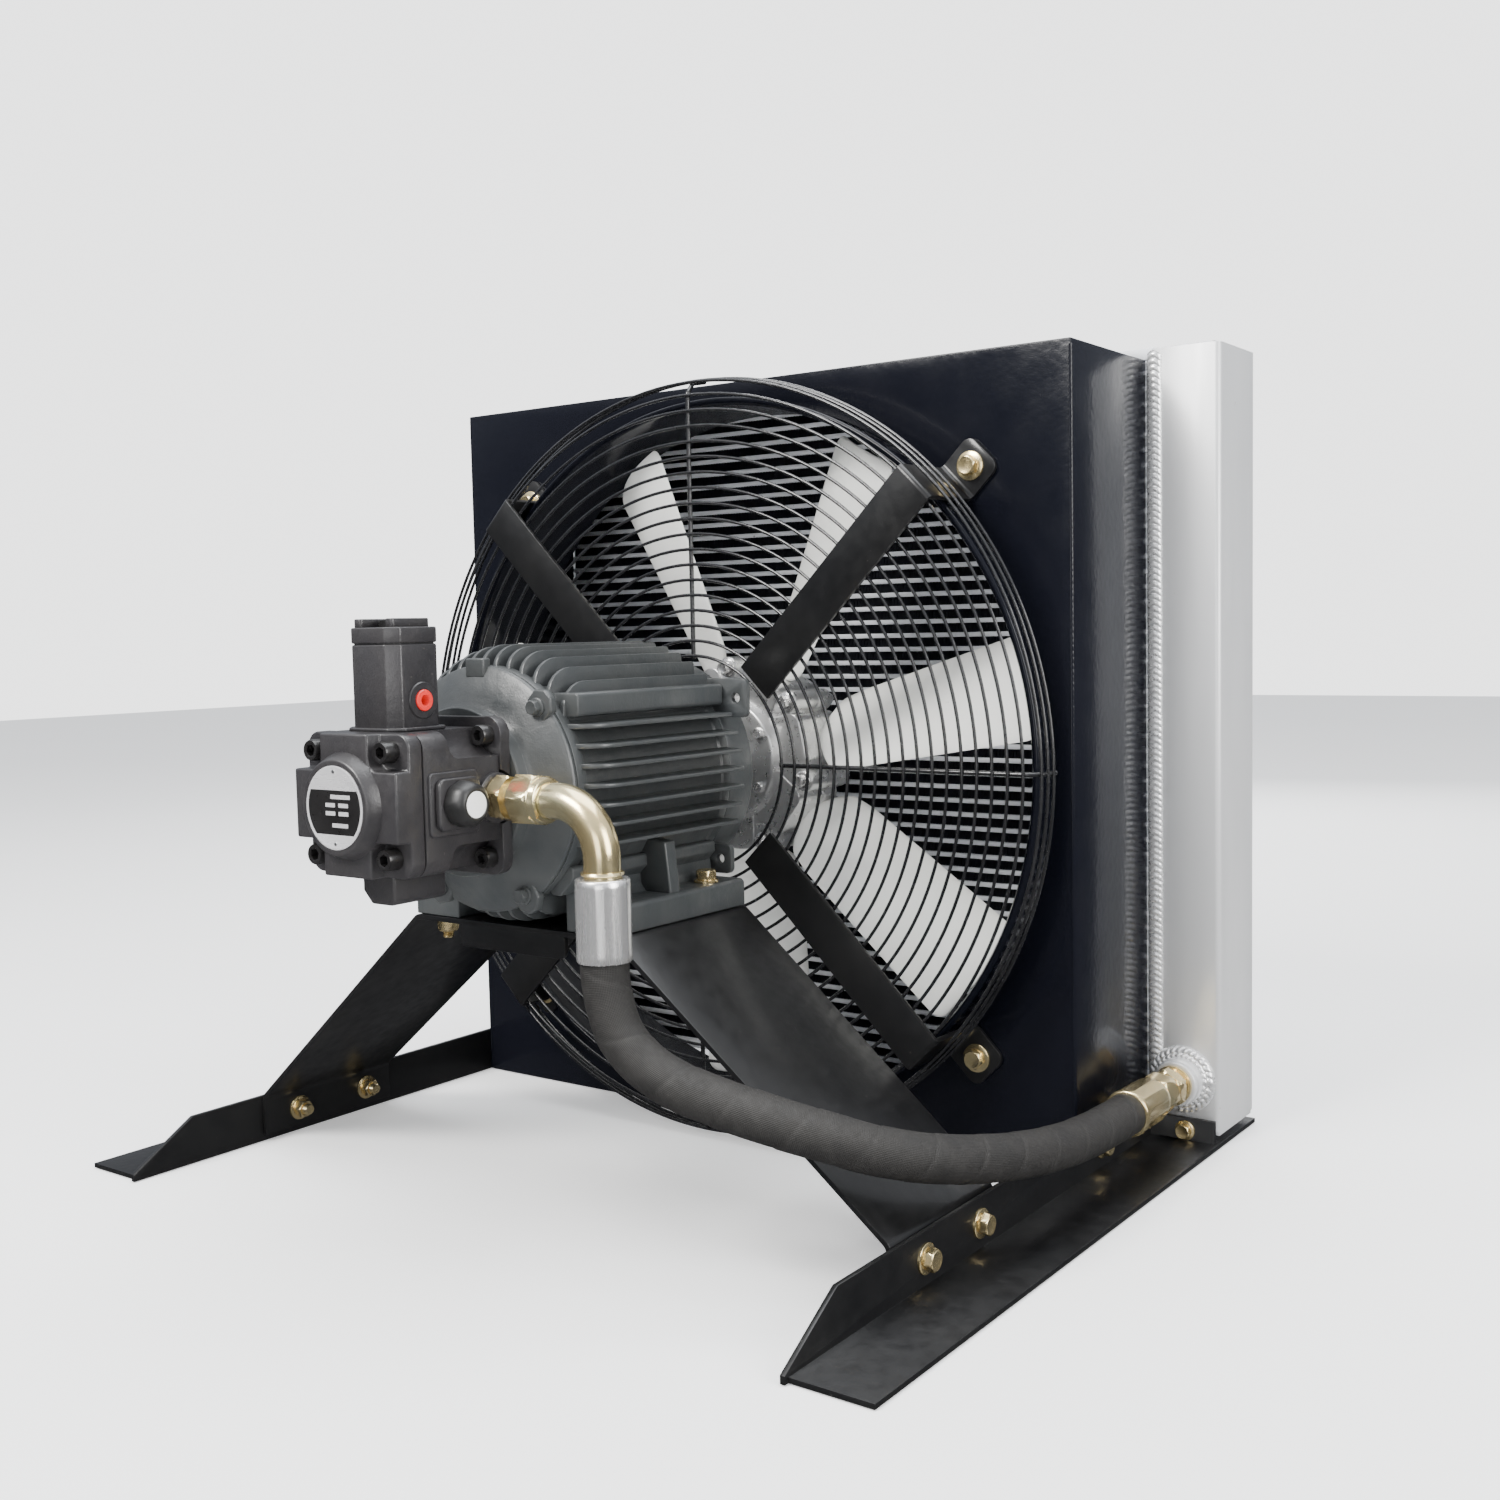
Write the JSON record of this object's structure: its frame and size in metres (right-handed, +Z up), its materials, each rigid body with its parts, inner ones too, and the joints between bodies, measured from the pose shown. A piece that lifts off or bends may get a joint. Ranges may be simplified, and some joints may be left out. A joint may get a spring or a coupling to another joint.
{
  "type": "hydraulic oil cooler",
  "caption": "Fan-cooled hydraulic oil cooler: bar-and-plate oil core in a fan cowl, with an electric motor on a bent saddle driving the fan and a vane pump with a hose to the core.",
  "frame": {"origin": "middle of the base on the floor, under the centre of the whole object's box", "axes": "+Z up; +Y along the shaft from the pump to the core; +X to the right of a person who faces the pump"},
  "size_m": [0.828, 0.732, 0.715],
  "materials": {
    "black_gloss": "gloss black powder coat with light orange peel",
    "black_satin": "satin black paint",
    "motor_grey": "satin grey paint on cast aluminium",
    "pump_grey": "charcoal paint on cast iron",
    "tank_aluminium": "satin mill finish, welded seams",
    "core_aluminium": "brazed bars and dark fins",
    "yellow_zinc": "yellow zinc plate",
    "plain_steel": "machined steel",
    "bright_zinc": "bright zinc plate",
    "hose_rubber": "matt, cloth-wrapped",
    "blade_nylon": "satin light grey",
    "black_plastic": "satin black",
    "red_plastic": "red cap plastic",
    "blank_plate": "blank rating plate",
    "lamination_steel": "stacked electrical steel"
  },
  "bodies": {
    "frame": {"adjuster_boss": "pump_grey", "bearing_front": "plain_steel", "bearing_rear": "plain_steel", "cable_gland": "black_plastic", "compensator_cap": "pump_grey", "compensator_housing": "pump_grey", "cooler_core": "core_aluminium", "cowl": "black_gloss", "drain_plug": "red_plastic", "fan_collar": "black_gloss", "fan_guard": "black_satin", "guard_arm_1": "black_satin", "guard_arm_2": "black_satin", "guard_arm_3": "black_satin", "guard_arm_4": "black_satin", "hose": "hose_rubber", "hose_nut": "yellow_zinc", "motor_foot_bolt_1": "yellow_zinc", "motor_foot_bolt_2": "yellow_zinc", "motor_foot_bolt_3": "yellow_zinc", "motor_foot_bolt_4": "yellow_zinc", "motor_frame": "motor_grey", "motor_front_bell": "motor_grey", "motor_rear_bell": "motor_grey", "motor_saddle": "black_satin", "motor_stator": "lamination_steel", "outlet_adapter": "yellow_zinc", "outlet_elbow": "yellow_zinc", "outlet_plug": "red_plastic", "pump_body": "pump_grey", "pump_cover": "pump_grey", "pump_ferrule": "bright_zinc", "pump_flange": "pump_grey", "pump_label_plate": "blank_plate", "rail_left": "black_satin", "rail_right": "black_satin", "tank_adapter": "yellow_zinc", "tank_ferrule": "yellow_zinc", "tank_left": "tank_aluminium", "tank_right": "tank_aluminium", "terminal_box": "motor_grey", "terminal_box_lid": "motor_grey"},
    "fan_group": {"motor_shaft": "plain_steel", "motor_rotor": "lamination_steel", "pump_rotor": "plain_steel", "fan_hub_front": "tank_aluminium", "fan_hub_rear": "tank_aluminium", "fan_blade_1": "blade_nylon", "fan_blade_2": "blade_nylon", "fan_blade_3": "blade_nylon", "fan_blade_4": "blade_nylon", "fan_blade_5": "blade_nylon", "fan_blade_6": "blade_nylon", "fan_blade_7": "blade_nylon"},
    "adjuster": {"adjuster_knob": "black_plastic"},
    "pressure_setting": {"pressure_screw": "plain_steel"},
    "cam_ring": {"pump_cam_ring": "plain_steel"}
  },
  "joints": [
    {"name": "fan_spin", "type": "hinge", "parent": "frame", "child": "fan_group", "pos_m": [0, 0.145, 0.352], "axis": [0, 1, 0], "continuous": true},
    {"name": "adjuster_turn", "type": "hinge", "parent": "frame", "child": "adjuster", "pos_m": [0.0578, -0.3025, 0.3518], "axis": [1, 0, 0], "range_deg": [-360, 360]},
    {"name": "pressure_screw_turn", "type": "hinge", "parent": "frame", "child": "pressure_setting", "pos_m": [0, -0.306, 0.4677], "axis": [0, 0, 1], "range_deg": [-360, 360]},
    {"name": "cam_ring_slide", "type": "slide", "parent": "frame", "child": "cam_ring", "axis": [0, 0, 1], "range_m": [0, 0.003], "stiffness_N_per_m": 2000, "springref_m": -0.005}
  ]
}
